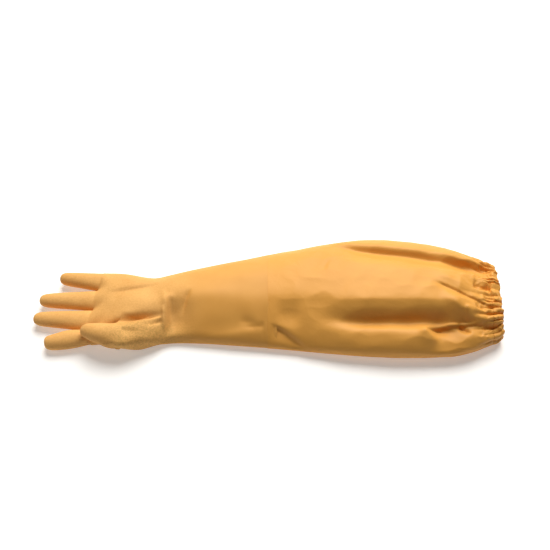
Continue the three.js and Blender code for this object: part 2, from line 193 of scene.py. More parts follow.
def fold_depth(folds, x, y):
    """How far the folds sink the upper side at points in plan."""
    sunk = np.zeros(np.shape(x))
    for row in folds:
        f = dict(zip(FOLD_COLUMNS, row))
        run_x = f["x1"] - f["x0"]
        run_y = f["y1"] - f["y0"]
        length = math.hypot(run_x, run_y)
        t = ((x - f["x0"]) * run_x + (y - f["y0"]) * run_y) / length**2
        side = ((y - f["y0"]) * run_x - (x - f["x0"]) * run_y) / length - f["bow"] * 4 * t * (1 - t)
        towards_far = side > 0 if run_x > 0 else side < 0
        width = np.where(towards_far, f["far"], f["near"])
        along = smooth(t / f["start"]) * smooth((1 - t) / f["end"])
        sunk += f["depth"] * along * np.exp(-np.abs(side / width) ** f["crisp"])
    return sunk


def sink(z, sunk, lowest):
    """Heights after the folds. A hollow stops at the height lowest, and a ridge just rises."""
    return np.where(sunk > 0, np.maximum(z - sunk, np.minimum(z, lowest)), z - sunk)


# The ball of the thumb: the middle of its round, half its width, its height, and the share
# by which the hand's side follows it in place of the tube.
BALL_COLUMNS = ("x", "y", "z", "wide", "high", "share")
THUMB_BALL = [
    (-198, -66, 19, 21.5, 21.5, 1),
    (-184, -63, 18, 22, 21, 0.95),
    (-168, -57, 17.5, 21.5, 19.5, 0.8),
    (-152, -52.5, 17, 20, 17, 0.4),
    (-142, -52, 19, 20, 15, 0),
]

# The thumb beyond its crotch: middle, half-width and half-height of each ring, and the tip.
THUMB = [
    (-210, -66, 27, 17.5, 15),
    (-222, -65, 29.3, 15.3, 13.3),
    (-233, -63, 30, 13, 11.2),
    (-242, -61, 30.4, 10.6, 9.2),
    (-248.5, -60, 30, 7, 6.2),
]
THUMB_TIP = (-251.5, -60, 30)

# The fingers from far to near. Each starts at x, where its two webs lie at far and near, and
# is widest there. wide and high are half its width and height, lift raises its tip, and
# pinch narrows it towards the tip.
FINGER_COLUMNS = ("x", "far", "near", "tip_x", "tip_y", "wide", "high", "lift", "pinch")
FINGERS = [
    (-236, 46, 16, -298.5, 37.5, 11.2, 9.8, 3, 0.04),
    (-241, 16, -16.5, -321.5, 0.5, 12.2, 10, 2, 0.06),
    (-243, -16.5, -49.5, -324.5, -29.5, 12.2, 10, 2, 0.05),
    (-240, -49.5, -68, -303.5, -66.5, 15.4, 10.8, 0, 0.2),
]

# The rings of a finger: the share of its length, and the size there.
TAPER = [(0.06, 1), (0.28, 1), (0.52, 0.98), (0.76, 0.94), (0.92, 0.78), (0.985, 0.45)]
FINGER_SIDES = 10
FINGER_RAISED = 0.3
TIP_HEIGHT = 0.95
ROOT_POWER = 2.2
PINCH_FROM = 0.45
PINCH_OVER = 0.4
PINCH_SHIFT = 0.6

# The hand's coarse outline has 28 sides, spread evenly over the flat share of the width,
# with the last one on each edge turning round it. Loops of it stand at the cuff's places, at
# the crotch of the thumb, and on the palm. The thumb leaves between sides 9 and 15.
SIDES = 28
FLAT_SHARE = 0.93
CUFF_PLACES = (
    12, 8, 4, 0.4, -0.1, -4, -10, -26, -44, -62, -80, -97,
    -110, -121, -131, -140, -149, -160, -172, -185,
)
CROTCH_X = -198
PALM_PLACES = (-211, -224)
THUMB_FIRST = 10
THUMB_LAST = 14
LOOP_STEP = 0.02

# Under the sleeve the gauntlet is set in, a first step at the sleeve's edge and the rest
# over the next 8 mm, so that the film's edge lies close on it.
LAP_INSET = 1.7
LAP_STEP = 0.24
LAP_STEP_AT = -0.1
LAP_STEP_OVER = 0.5
LAP_OVER = 8

# Heights along the roots of the fingers. The hand's two edges are drawn in a little. This
# loop takes half of the tube's folds.
WEB_TOP = 15
WEB_BOTTOM = 3.5
ROOT_TOP = 20.5
EDGE_TOP = 15
EDGE_BOTTOM = 1.5
EDGE_DRAWN_IN = 1.5
KNUCKLE_FOLDS = 0.5


def side_angle(q):
    """The angle of one of the glove's 28 sides, counted from the far edge over the top."""
    if q > SIDES / 2:
        return 2 * math.pi - side_angle(SIDES - q)
    edge = math.acos(FLAT_SHARE ** (ROUND_ABOVE / 2))
    if q < 1:
        return q * edge
    if q > SIDES / 2 - 1:
        return math.pi - (SIDES / 2 - q) * edge
    u = FLAT_SHARE * (SIDES / 4 - q) / (SIDES / 4 - 1)
    return math.acos(math.copysign(abs(u) ** (ROUND_ABOVE / 2), u))


class Cage:
    """Points and faces of a coarse outline. tube is how much of the tube's folds a point takes."""

    def __init__(self):
        self.points = []
        self.tube = []
        self.faces = []

    def add(self, point, tube_share):
        self.points.append([float(v) for v in point])
        self.tube.append(tube_share)
        return len(self.points) - 1

    def bridge(self, first, second):
        for i in range(len(first)):
            j = (i + 1) % len(first)
            self.faces.append((first[i], second[i], second[j], first[j]))

    def close(self, loop, tip):
        for i in range(len(loop)):
            self.faces.append((loop[i], tip, loop[(i + 1) % len(loop)]))


def ball(name, x):
    return float(read_table(THUMB_BALL, BALL_COLUMNS, name, x))


def hand_loop(cage, x, inset, with_thumb):
    """One loop of the hand at x, with the ball of the thumb on its near side."""
    share = ball("share", x)
    loop = []
    for q in range(SIDES):
        angle = side_angle(q)
        point = tube(x, angle)
        if inset > 0:
            point = point - inset * outwards(x, angle, LOOP_STEP)
            point[2] = max(point[2], inset)
        tube_share = 1.0
        if with_thumb and THUMB_FIRST <= q <= THUMB_LAST and share > 0:
            turn = math.pi * (q - THUMB_FIRST + 1) / (THUMB_LAST - THUMB_FIRST + 2)
            y = ball("y", x) + ball("wide", x) * math.cos(turn)
            z = ball("z", x) + ball("high", x) * math.sin(turn)
            point = point * (1 - share) + np.array([x, y, z]) * share
            tube_share = 1 - share
        loop.append(cage.add(point, tube_share))
    return loop


def add_thumb(cage, loop):
    turns = [2 * math.pi * i / len(loop) for i in range(len(loop))]
    for x, y, z, wide, high in THUMB:
        ring = [cage.add((x, y + wide * math.cos(a), z + high * math.sin(a)), 0) for a in turns]
        cage.bridge(loop, ring)
        loop = ring
    cage.close(loop, cage.add(THUMB_TIP, 0))


def add_finger(cage, loop, row):
    f = dict(zip(FINGER_COLUMNS, row))
    start = np.array([f["x"], (f["far"] + f["near"]) / 2, f["high"] + FINGER_RAISED])
    tip = np.array([f["tip_x"], f["tip_y"], f["high"] * TIP_HEIGHT + f["lift"]])
    across = np.cross((0, 0, 1), start - tip)
    across /= np.linalg.norm(across)
    root = (f["far"] - f["near"]) / 2
    for along, size in TAPER:
        narrowed = size * (1 - f["pinch"] * float(smooth((along - PINCH_FROM) / PINCH_OVER)))
        wide = f["wide"] * narrowed + (root - f["wide"]) * (1 - along) ** ROOT_POWER
        centre = start + (tip - start) * along
        centre[1] -= f["wide"] * (size - narrowed) * PINCH_SHIFT
        ring = []
        for i in range(FINGER_SIDES):
            a = 2 * math.pi * i / FINGER_SIDES
            point = centre + across * wide * math.cos(a)
            point[2] = max(point[2] + f["high"] * size * math.sin(a), 0)
            ring.append(cage.add(point, 0))
        cage.bridge(loop, ring)
        loop = ring
    cage.close(loop, cage.add(tip, 0))


def knuckle_loop(cage):
    """The palm's last loop runs along the roots of the fingers, three sides over each."""
    upper = []
    lower = []
    for f, row in enumerate(FINGERS):
        x, far, near = row[:3]
        for k in range(4 if f == 3 else 3):
            y = far + (near - far) * k / 3
            is_web = k % 3 == 0
            is_edge = is_web and (f + k == 0 or k == 3)
            if is_edge:
                y += -EDGE_DRAWN_IN if far + near > 0 else EDGE_DRAWN_IN
            top = EDGE_TOP if is_edge else WEB_TOP if is_web else ROOT_TOP
            bottom = EDGE_BOTTOM if is_edge else WEB_BOTTOM if is_web else 0
            upper.append(cage.add((x, y, top), KNUCKLE_FOLDS))
            lower.append(cage.add((x, y, bottom), KNUCKLE_FOLDS))
    height = (WEB_TOP + WEB_BOTTOM) / 2
    far_edge = cage.add((FINGERS[0][0], FINGERS[0][1], height), KNUCKLE_FOLDS)
    near_edge = cage.add((FINGERS[3][0], FINGERS[3][2], height), KNUCKLE_FOLDS)
    return [far_edge] + upper + [near_edge] + lower[::-1]


def hand_cage():
    """The whole glove's coarse outline, from the end of the gauntlet to the fingertips."""
    cage = Cage()
    loop = None
    for x in CUFF_PLACES:
        step = LAP_STEP * smooth((x - LAP_STEP_AT) / LAP_STEP_OVER)
        inset = LAP_INSET * float(step + (1 - LAP_STEP) * smooth(x / LAP_OVER))
        ring = hand_loop(cage, x, inset, True)
        if loop:
            cage.bridge(loop, ring)
        loop = ring
    split = hand_loop(cage, CROTCH_X, 0, True)
    cage.bridge(loop, split)
    palm = list(split)
    for q in range(THUMB_FIRST, THUMB_LAST + 1):
        palm[q] = cage.add(tube(CROTCH_X - 1, side_angle(q)), 1)
    beside_palm = palm[THUMB_FIRST:THUMB_LAST + 1]
    add_thumb(cage, split[THUMB_FIRST - 1:THUMB_LAST + 2] + beside_palm[::-1])
    loop = palm
    for x in PALM_PLACES:
        ring = hand_loop(cage, x, 0, False)
        cage.bridge(loop, ring)
        loop = ring
    knuckles = knuckle_loop(cage)
    cage.bridge(loop, knuckles)
    webs = []
    for a, b in zip(FINGERS, FINGERS[1:]):
        webs.append(cage.add(((a[0] + b[0]) / 2, a[2], (WEB_TOP + WEB_BOTTOM) / 2), 0))
    for f, row in enumerate(FINGERS):
        first = 1 + 3 * f
        over = knuckles[first:first + 4]
        under = [knuckles[SIDES - (first + 3 - k)] for k in range(4)]
        far_side = knuckles[0] if f == 0 else webs[f - 1]
        near_side = knuckles[SIDES // 2] if f == 3 else webs[f]
        add_finger(cage, [far_side] + over + [near_side] + under, row)
    return cage


def refine(cage, points, levels):
    """The cage smoothed by subdivision: points, faces, and each point's share of the tube."""
    mesh = bpy.data.meshes.new("cage")
    mesh.from_pydata([list(p) for p in points], [], cage.faces)
    obj = bpy.data.objects.new("cage", mesh)
    bpy.context.collection.objects.link(obj)
    group = obj.vertex_groups.new(name="tube")
    for i, share in enumerate(cage.tube):
        group.add([i], share, "REPLACE")
    subsurf = obj.modifiers.new("smooth", "SUBSURF")
    subsurf.levels = levels
    subsurf.boundary_smooth = "PRESERVE_CORNERS"
    graph = bpy.context.evaluated_depsgraph_get()
    fine = obj.evaluated_get(graph).to_mesh()
    found = np.empty(len(fine.vertices) * 3)
    fine.vertices.foreach_get("co", found)
    faces = [tuple(p.vertices) for p in fine.polygons]
    shares = np.array([v.groups[0].weight if v.groups else 0.0 for v in fine.vertices])
    obj.evaluated_get(graph).to_mesh_clear()
    bpy.data.objects.remove(obj)
    bpy.data.meshes.remove(mesh)
    return found.reshape(-1, 3), faces, shares


def through_cage(cage, rounds, step):
    """Moves the cage, round by round, until its smoothed surface meets the points asked for."""
    wanted = np.array(cage.points)
    points = wanted.copy()
    for _ in range(rounds):
        reached = refine(cage, points, 1)[0][:len(points)]
        points += step * (wanted - reached)
    return points


def point_normals(points, faces):
    mesh = bpy.data.meshes.new("normals")
    mesh.from_pydata([list(p) for p in points], [], faces)
    normals = np.empty(len(points) * 3)
    mesh.vertex_normals.foreach_get("vector", normals)
    bpy.data.meshes.remove(mesh)
    return normals.reshape(-1, 3)


# The sum of twelve waves is mostly less than 3.2.
WAVES = 12
WAVES_REACH = 3.2


def ripple(points, wavelength, seed):
    """A soft random unevenness, mostly between -1 and 1, the same on every run."""
    rng = np.random.default_rng(seed)
    total = np.zeros(len(points))
    for _ in range(WAVES):
        direction = rng.normal(size=3)
        direction /= np.linalg.norm(direction)
        k = 2 * math.pi / (wavelength * rng.uniform(0.7, 1.5))
        total += np.sin(points @ direction * k + rng.uniform(0, 2 * math.pi))
    return total / WAVES_REACH


# The folds fade in up the sides and have their full depth from about two thirds of the way
# between belly and top. No hollow goes below a share of the belly's height. The thumb's own
# folds start behind its crotch. A soft unevenness fades out over the palm.
FOLD_FULL = 1.6
HAND_LOWEST = 0.55
THUMB_FOLDS_AT = -205
THUMB_FOLDS_OVER = 12
UNEVEN_DEPTH = 0.45
UNEVEN_LENGTH = 46
UNEVEN_SEED = 3
UNEVEN_AT = -215
UNEVEN_OVER = 60


def fold_hand(points, shares):
    """The folds and the unevenness, by each point's share of the tube."""
    x, y, z = points.T
    belly = belly_height(x)
    share = np.clip((z - belly) / (section("top", x) - belly), 0, 1)
    upper = smooth(share * FOLD_FULL)
    sunk = fold_depth(GLOVE_FOLDS, x, y) * upper * shares
    sunk += fold_depth(THUMB_FOLDS, x, y) * upper * smooth((x - THUMB_FOLDS_AT) / THUMB_FOLDS_OVER)
    uneven = UNEVEN_DEPTH * ripple(points, UNEVEN_LENGTH, UNEVEN_SEED)
    sunk += uneven * upper * smooth((x - UNEVEN_AT) / UNEVEN_OVER)
    folded = points.copy()
    folded[:, 2] = np.maximum(sink(z, sunk, belly * HAND_LOWEST), 0)
    return folded


def new_piece(name, points, faces, material):
    mesh = bpy.data.meshes.new(name)
    placed = (points + np.array([SHIFT_X, SHIFT_Y, 0])) * MM
    mesh.from_pydata(placed.tolist(), [], faces)
    mesh.polygons.foreach_set("use_smooth", [True] * len(faces))
    mesh.materials.append(material)
    obj = bpy.data.objects.new(name, mesh)
    bpy.context.collection.objects.link(obj)
    return obj


def new_material(name):
    material = bpy.data.materials.new(name)
    material.use_nodes = True
    return material, material.node_tree.nodes["Principled BSDF"]


def set_inputs(material, node, inputs):
    """Gives each input of a node its value, or links it to another node's output."""
    for name, value in inputs.items():
        if isinstance(value, bpy.types.NodeSocket):
            material.node_tree.links.new(value, node.inputs[name])
        else:
            node.inputs[name].default_value = value


def add_node(material, kind, inputs):
    node = material.node_tree.nodes.new("ShaderNode" + kind)
    set_inputs(material, node, inputs)
    return node


def speckle(material, place, scale, detail, **more):
    """Random light and dark. A larger scale gives finer specks."""
    inputs = {"Vector": place, "Scale": scale, "Detail": detail, **more}
    return add_node(material, "TexNoise", inputs).outputs["Fac"]


def ramp(material, value, start, end, kind="LINEAR"):
    """0 where a value is start, 1 where it is end."""
    inputs = {"Value": value, "From Min": start, "From Max": end}
    node = add_node(material, "MapRange", inputs)
    node.interpolation_type = kind
    return node.outputs["Result"]


def between(material, share, first, second):
    """A number that goes from first to second as the share goes from 0 to 1."""
    inputs = {"Value": share, "To Min": first, "To Max": second}
    return add_node(material, "MapRange", inputs).outputs["Result"]


def reckon(material, operation, *values):
    """A sum of numbers and other nodes' outputs."""
    node = material.node_tree.nodes.new("ShaderNodeMath")
    node.operation = operation
    set_inputs(material, node, dict(enumerate(values)))
    return node.outputs[0]


def blend(material, way, share, first, second):
    """Two colours joined by a share of the second."""
    node = material.node_tree.nodes.new("ShaderNodeMix")
    node.data_type = "RGBA"
    node.blend_type = way
    set_inputs(material, node, {"Factor": share, "A": first, "B": second})
    return node.outputs["Result"]


# Rubber: tan and rough on the hand, turning orange and smooth between the wrist and the
# middle of the gauntlet. Places are in metres along and across the glove.
HAND_ENDS_X = -0.165
CUFF_STARTS_X = -0.075
HAND_DARK = (0.68, 0.325, 0.078, 1)
HAND_PALE = (0.86, 0.475, 0.148, 1)
CUFF_DARK = (0.68, 0.31, 0.055, 1)
CUFF_PALE = (0.78, 0.38, 0.078, 1)
BLOTCH_SCALE = 32
GRIT_SCALE = 420
GRIT_WEIGHT = 1.2
BLOTCH_WEIGHT = 0.8
MIX_SHIFT = -0.5
HAND_ROUGHNESS = 0.74
CUFF_ROUGHNESS = 0.55
RUBBER_SHINE = 0.3
GRIP_DEPTH = 0.0005
HAND_GRIP = 0.5
CUFF_GRIP = 0.05

glove_rubber, shader = new_material("glove_rubber")
place = add_node(glove_rubber, "TexCoord", {}).outputs["Object"]
split_place = add_node(glove_rubber, "SeparateXYZ", {"Vector": place})
along = split_place.outputs["X"]
across = split_place.outputs["Y"]
to_cuff = ramp(glove_rubber, along, HAND_ENDS_X, CUFF_STARTS_X, "SMOOTHSTEP")
blotches = speckle(glove_rubber, place, BLOTCH_SCALE, 4)
grit = speckle(glove_rubber, place, GRIT_SCALE, 3, Roughness=0.6)
hand_shift = reckon(glove_rubber, "MULTIPLY_ADD", blotches, BLOTCH_WEIGHT, MIX_SHIFT)
hand_mix = reckon(glove_rubber, "MULTIPLY_ADD", grit, GRIT_WEIGHT, hand_shift)
hand_colour = blend(glove_rubber, "MIX", hand_mix, HAND_DARK, HAND_PALE)

# The grain shows most on the ball of the thumb, as fine dark and pale specks.
THUMB_NONE_X = -0.224
THUMB_FULL_X = -0.194
THUMB_NONE_Y = -0.038
THUMB_FULL_Y = -0.052
SPECK_DARK_UP_TO = 0.38
SPECK_PALE_FROM = 0.62
SPECK_DARK = (0.76, 0.79, 0.73, 1)
SPECK_PALE = (0.94, 0.95, 0.88, 1)
along_thumb = ramp(glove_rubber, along, THUMB_NONE_X, THUMB_FULL_X)
across_thumb = ramp(glove_rubber, across, THUMB_NONE_Y, THUMB_FULL_Y)
thumb_skin = reckon(glove_rubber, "MULTIPLY", along_thumb, across_thumb)
specks = ramp(glove_rubber, grit, SPECK_DARK_UP_TO, SPECK_PALE_FROM)
speck_colour = blend(glove_rubber, "MIX", specks, SPECK_DARK, SPECK_PALE)
thumb_colour = blend(glove_rubber, "MULTIPLY", thumb_skin, hand_colour, speck_colour)

cuff_colour = blend(glove_rubber, "MIX", blotches, CUFF_DARK, CUFF_PALE)
bump = add_node(glove_rubber, "Bump", {
    "Strength": between(glove_rubber, to_cuff, HAND_GRIP, CUFF_GRIP),
    "Distance": GRIP_DEPTH,
    "Height": grit,
})
set_inputs(glove_rubber, shader, {
    "Base Color": blend(glove_rubber, "MIX", to_cuff, thumb_colour, cuff_colour),
    "Roughness": between(glove_rubber, to_cuff, HAND_ROUGHNESS, CUFF_ROUGHNESS),
    "Specular IOR Level": RUBBER_SHINE,
    "Normal": bump.outputs["Normal"],
})

GLOVE_WALL = 1.4
INNER_LEVELS = 2
OUTER_LEVELS = 3
CAGE_ROUNDS = 4
CAGE_STEP = 0.9
cage = hand_cage()
cage_points = through_cage(cage, CAGE_ROUNDS, CAGE_STEP)
outer, outer_faces, outer_shares = refine(cage, cage_points, OUTER_LEVELS)
outer = fold_hand(outer, outer_shares)
inner, inner_faces, inner_shares = refine(cage, cage_points, INNER_LEVELS)
inner = fold_hand(inner, inner_shares)
inner = inner - GLOVE_WALL * point_normals(inner, inner_faces)
glove_points = np.vstack([outer, inner])
glove_faces = outer_faces + [tuple(v + len(outer) for v in face[::-1]) for face in inner_faces]
glove = new_piece("rubber_glove", glove_points, glove_faces, glove_rubber)
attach(glove, "root")
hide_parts("hand_glove")


# The sleeve: a wide tube of thin rubber film, lapped over the gauntlet's end. It lies slack,
# so it has sunk into a deep valley with a ridge beside it, and the elastic at its mouth
# draws it into pleats that die out towards the elbow.
SLEEVE_WALL = 1.1
HEM_X = 309
SLEEVE_FOLDS = [
    (3, -50, 54, -83, 2, 5.4, 11, 1.8, 0.25, 0.3, 1.5),  # crease running down from the lap
    (6, -38, 50, -42, 0, 3.4, 13, 13, 0.35, 0.4, 2),  # dent above it
    (50, -47, 256, -48, -3, 16, 10, 10, 0.5, 0.15, 1.9),  # the long valley
    (72, -25, 262, -26, 0, -2.6, 6, 22, 0.3, 0.3, 2),  # ridge on its far side
    (226, -52, 298, -49, 0, 9, 3.5, 8, 0.4, 0.35, 1.6),  # the valley's last part
    (204, -58, 224, -82, 0, -4, 9, 4.5, 0.3, 0.4, 1.7),  # ridge across the near lobe
    (206, -60, 266, -64, 0, 5, 14, 5, 0.4, 0.5, 1.8),  # hollow next to it, towards the mouth
    (92, -64, 222, -62, 0, 4, 24, 9, 0.35, 0.25, 2),  # the valley's near slope
    (72, 77, 322, 37, -4, 11, 19, 6.5, 0.3, 0.08, 1.8),  # the far valley
    (216, 59, 322, 35, 0, 2, 16, 4, 0.7, 0.08, 1.8),  # its deeper part by the hem
    (222, 5, 316, -32, -2, 4, 10, 2, 0.2, 0.1, 1.4),  # the pleat that runs into the hem
    (226, 17, 300, -11, 0, -2, 6, 12, 0.3, 0.4, 2),  # ridge beside the pleat
    (283, 2, 310, -5, 0, 7, 2, 12, 0.15, 0.15, 1.3),  # short sharp folds at the hem
    (296, -16, 314, -18, 0, 4.5, 2, 6, 0.3, 0.2, 1.5),
    (230, -20, 300, -56, 0, -5.5, 7, 16, 0.35, 0.25, 2),  # slanting ridge at the long valley's end
    (281, -32, 302, -35, 0, 4.5, 2.5, 7, 0.35, 0.3, 1.5),  # short fold across it
    (202, -64, 322, -53, 2, 9, 12, 2.5, 0.25, 0.08, 1.5),  # fold along the near lobe
    (254, -51, 277, -67, 0, 5, 5, 2.5, 0.3, 0.4, 1.5),  # dent where it meets the valley
    (270, -30, 273, -54, 0, -3, 4, 6, 0.3, 0.3, 1.6),  # short ridge across the valley's end
    (74, 19, 91, 50, 2, 1, 3, 3, 0.4, 0.4, 1.6),  # slight crease high on the sleeve
]

# The mouth of the sleeve is slanted, and its upper edge leans back.
MOUTH_SLANT = 0.05
MOUTH_LEAN = 0.1
LEAN_AT = 230
LEAN_OVER = 80


def lean(points):
    ending = smooth((points[..., 0] - LEAN_AT) / LEAN_OVER)
    moved = points.copy()
    moved[..., 0] += ending * (MOUTH_SLANT * points[..., 1] - MOUTH_LEAN * points[..., 2])
    return moved


# The ruffles are of uneven widths and heights. Away from the elastic they join into fewer,
# wider folds: 32 at the mouth, then 16, then 8. Each kind has its height, how far back it
# reaches and how suddenly it dies out, and the wider ones start behind the hem.
RUFFLES = 32
PLEATS = 16
WIDE_FOLDS = 8
RUFFLE_HEIGHT = 4.9
PLEAT_HEIGHT = 3.2
WIDE_HEIGHT = 3.0
RUFFLE_REACH = 10
RUFFLE_REACH_MORE = 5
PLEAT_REACH = 24
WIDE_REACH = 46
PLEAT_STARTS_OVER = 7
PLEAT_AT_HEM = 0.25
WIDE_STARTS_OVER = 14
DRIFT = 0.012
DRIFT_OVER = 40
gather_random = np.random.default_rng(11)
ruffle_widths = gather_random.uniform(0.45, 1.6, RUFFLES)
ruffle_ends = np.concatenate([[0], np.cumsum(ruffle_widths)]) / ruffle_widths.sum()
ruffle_sizes = gather_random.uniform(0.45, 1.4, RUFFLES)
pleat_sizes = gather_random.uniform(0.3, 1.5, PLEATS)
wide_sizes = gather_random.uniform(0.1, 1.6, WIDE_FOLDS)
drifts = gather_random.uniform(-1, 1, WIDE_FOLDS)


def wrapped(values, at):
    """Values spread evenly round the section, read smoothly at the place at."""
    places = at * len(values) - 0.5
    i = np.floor(places).astype(int)
    t = smooth(places - i)
    return values[i % len(values)] * (1 - t) + values[(i + 1) % len(values)] * t


def humps(at, sizes, turned, roundness, middle):
    """Round humps with pinched valleys, one for each size. middle is about their mean height."""
    count = len(sizes)
    hump = np.abs(np.cos(math.pi * (count * at + turned))) ** roundness - middle
    return wrapped(sizes, at) * hump


def gather(x, share):
    """How far the gathers push the film out or in, at shares of the way round the section."""
    back = max(HEM_X - x, 0)
    drifted = (share + wrapped(drifts, share) * DRIFT * back / DRIFT_OVER) % 1
    even = np.interp(drifted, ruffle_ends, np.arange(RUFFLES + 1) / RUFFLES)
    reach = RUFFLE_REACH + RUFFLE_REACH_MORE * wrapped(ruffle_sizes, (even * 3) % 1)
    ruffle = humps(even, ruffle_sizes, 0, 0.6, 0.66) * np.exp(-((back / reach) ** 1.4))
    pleat = humps(even, pleat_sizes, 0.3, 0.8, 0.62) * math.exp(-((back / PLEAT_REACH) ** 1.7))
    wide = humps(even, wide_sizes, 0.15, 1, 0.62) * math.exp(-((back / WIDE_REACH) ** 2.2))
    pushed = RUFFLE_HEIGHT * ruffle
    pleat_start = float(smooth(back / PLEAT_STARTS_OVER + PLEAT_AT_HEM))
    pushed = pushed + PLEAT_HEIGHT * pleat * pleat_start
    return pushed + WIDE_HEIGHT * wide * float(smooth(back / WIDE_STARTS_OVER))


# The upper side as shares of the way round: it starts just before the far edge and ends a
# little past the near one.
OUTLINE_POINTS = 1441
TOP_FIRST = 0.95
TOP_FIRST_OVER = 0.04
TOP_LAST = 0.58
TOP_LAST_OVER = 0.06


def spread_round(x, count, dense_top):
    """Angles round the section at x, closer on its upper side, and their shares of the way."""
    angles = np.linspace(0, 2 * math.pi, OUTLINE_POINTS)
    points = tube(np.full(angles.shape, x), angles)
    steps = np.linalg.norm(np.diff(points, axis=0), axis=1)
    share = np.concatenate([[0], np.cumsum(steps)])
    share /= share[-1]
    over_top = smooth((TOP_LAST - share) / TOP_LAST_OVER + 0.5)
    over_top = np.maximum(over_top, smooth((share - TOP_FIRST) / TOP_FIRST_OVER))
    weight = 1 + (dense_top - 1) * over_top
    spread = np.concatenate([[0], np.cumsum((weight[1:] + weight[:-1]) / 2 * steps)])
    spread /= spread[-1]
    at = np.arange(count) / count
    return np.interp(at, spread, angles), np.interp(at, spread, share)


# The film stands a hair proud of the rubber where it starts. Its folds have their full depth
# above half the height, and no hollow goes below half the belly's height. Crumples of three
# sizes each have their length, seed and height, and the height added towards the mouth,
# from a place on and over a distance.
EDGE_PROUD = 0.12
FILM_STEP = 0.004
FILM_FOLDS_FULL = 0.5
FILM_LOWEST = 0.5
SLACK_AT = 4
SLACK_OVER = 30
CRUMPLES_FULL_Z = 25
CRUMPLE_COLUMNS = ("length", "seed", "height", "more", "at", "over")
CRUMPLES = [
    (50, 5, 0.7, 0.6, 190, 100),
    (21, 6, 0.18, 0.5, 190, 100),
    (11, 7, 0, 0.9, 272, 30),
]


def crumple(ring, x):
    total = 0
    for row in CRUMPLES:
        c = dict(zip(CRUMPLE_COLUMNS, row))
        height = c["height"] + c["more"] * float(smooth((x - c["at"]) / c["over"]))
        total = total + (1 - np.abs(ripple(ring, c["length"], c["seed"]))) * height
    return total


def film_ring(x, count, dense_top, swell):
    """One ring of the film at x, gathered, folded and crumpled. swell pushes it all out."""
    angles, share = spread_round(x, count, dense_top)
    across = np.full(count, float(x))
    proud = EDGE_PROUD * (1 - float(smooth(x / LAP_OVER)))
    pushed = gather(x, share) + swell + proud
    ring = tube(across, angles) + outwards(across, angles, FILM_STEP) * pushed[:, None]
    upper = ring[:, 2] / (float(section("top", x)) * FILM_FOLDS_FULL)
    sunk = fold_depth(SLEEVE_FOLDS, ring[:, 0], ring[:, 1]) * smooth(upper)
    ring[:, 2] = sink(ring[:, 2], sunk, float(belly_height(x)) * FILM_LOWEST)
    slack = float(smooth((x - SLACK_AT) / SLACK_OVER))
    ring[:, 2] += crumple(ring, x) * slack * np.clip(ring[:, 2] / CRUMPLES_FULL_Z, 0, 1)
    ring[:, 2] = np.maximum(ring[:, 2], 0)
    return ring


def ring_faces(first, second, count):
    faces = []
    for j in range(count):
        k = (j + 1) % count
        faces.append((first + j, first + k, second + k, second + j))
    return faces


def closed_shell(points, rows, count, wall, inner_step):
    """The wall's two skins, and the rims at its two ends. The inner one has fewer rings."""
    faces = []
    for i in range(rows - 1):
        faces += ring_faces(i * count, (i + 1) * count, count)
    normals = point_normals(points, faces)
    for end in (slice(0, count), slice((rows - 1) * count, rows * count)):
        normals[end, 0] = 0
        normals[end] /= np.linalg.norm(normals[end], axis=1, keepdims=True)
    inside = (points - wall[:, None] * normals).reshape(rows, count, 3)
    kept = sorted(set(range(0, rows, inner_step)) | {rows - 1})
    start = len(points)
    for i in range(len(kept) - 1):
        faces += ring_faces(start + (i + 1) * count, start + i * count, count)
    faces += ring_faces(start, 0, count)
    faces += ring_faces((rows - 1) * count, start + (len(kept) - 1) * count, count)
    return np.vstack([points, inside[kept].reshape(-1, 3)]), faces


# The film: orange and a little cloudy, with a faint crinkle all over.
FILM_DARK = (0.7, 0.315, 0.055, 1)
FILM_PALE = (0.8, 0.385, 0.078, 1)
FILM_ROUGHNESS = 0.5
FILM_SHINE = 0.22
CLOUD_SCALE = 14
CRINKLE_SCALE = 75
CRINKLE_STRENGTH = 0.3
CRINKLE_DEPTH = 0.0014
film, shader = new_material("sleeve_film")
place = add_node(film, "TexCoord", {}).outputs["Object"]
clouds = speckle(film, place, CLOUD_SCALE, 5)
crinkles = speckle(film, place, CRINKLE_SCALE, 5, Distortion=0.7)
bump = add_node(film, "Bump", {
    "Strength": CRINKLE_STRENGTH,
    "Distance": CRINKLE_DEPTH,
    "Height": crinkles,
})
set_inputs(film, shader, {
    "Base Color": blend(film, "MIX", clouds, FILM_DARK, FILM_PALE),
    "Roughness": FILM_ROUGHNESS,
    "Specular IOR Level": FILM_SHINE,
    "Normal": bump.outputs["Normal"],
})

# The film starts just before the lap line, thinned to an edge. Its rings stand closer in the
# gathers, and a close pair at each end keeps the shading of the rims off the skin.
SLEEVE_SIDES = 320
SLEEVE_DENSE_TOP = 1.8
EDGE_WALL = 0.1
START_ROWS = [-0.6, -0.45]
END_ROWS = [HEM_X - 0.1, HEM_X]
PLAIN_ROWS = 96
GATHERED_ROWS = 59
GATHERS_X = 236
plain_rows = np.linspace(0, GATHERS_X, PLAIN_ROWS, endpoint=False)
gathered_rows = np.linspace(GATHERS_X, HEM_X - 1, GATHERED_ROWS)
sleeve_rows = np.concatenate([START_ROWS, plain_rows, gathered_rows, END_ROWS])
skin = lean(np.vstack([film_ring(x, SLEEVE_SIDES, SLEEVE_DENSE_TOP, 0) for x in sleeve_rows]))
sleeve_wall = SLEEVE_WALL - (SLEEVE_WALL - EDGE_WALL) * (1 - smooth(skin[:, 0] / LAP_OVER))
shell = closed_shell(skin, len(sleeve_rows), SLEEVE_SIDES, sleeve_wall, inner_step=2)
sleeve_points, sleeve_faces = shell
sleeve = new_piece("film_sleeve", sleeve_points, sleeve_faces, film)
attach(sleeve, "root")
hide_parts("sleeve")


